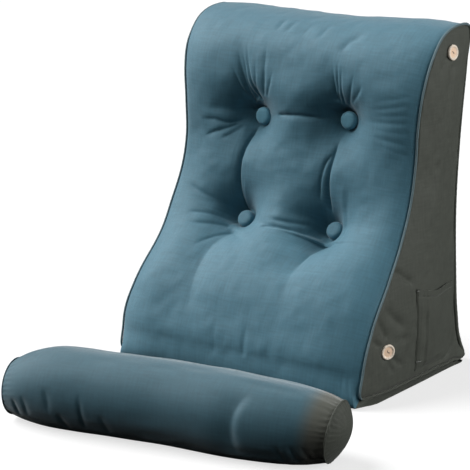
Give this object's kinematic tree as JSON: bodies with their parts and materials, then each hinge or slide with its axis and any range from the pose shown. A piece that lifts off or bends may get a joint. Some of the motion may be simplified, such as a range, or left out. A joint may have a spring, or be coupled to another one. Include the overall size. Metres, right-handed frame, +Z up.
{
  "type": "reading pillow",
  "caption": "Tall wedge-shaped reading pillow with a button-tufted padded front, piped side panels and a side pocket, with a loose round bolster lying in front.",
  "frame": {"origin": "on the floor, at the centre of the footprint of the wedge and the bolster together", "axes": "+Z up; -Y out of the wedge's padded front, towards the bolster; +X towards the side panel with the pocket"},
  "size_m": [0.6248, 0.7353, 0.595],
  "materials": {
    "front_cloth": "matt woven cotton, muted blue",
    "side_cloth": "matt woven cotton, dark olive grey",
    "wood": "pale bare wood, satin"
  },
  "bodies": {
    "root": {"wedge": "front_cloth", "side_panel_right": "side_cloth", "side_panel_left": "side_cloth", "piping_right": "front_cloth", "piping_left": "front_cloth", "pocket": "side_cloth", "tuft_button_lower_left": "front_cloth", "tuft_button_lower_right": "front_cloth", "tuft_button_upper_left": "front_cloth", "tuft_button_upper_right": "front_cloth", "wood_button_top": "wood", "wood_button_front": "wood", "bolster": "front_cloth", "bolster_end_right": "side_cloth", "bolster_end_left": "side_cloth"}
  },
  "joints": []
}
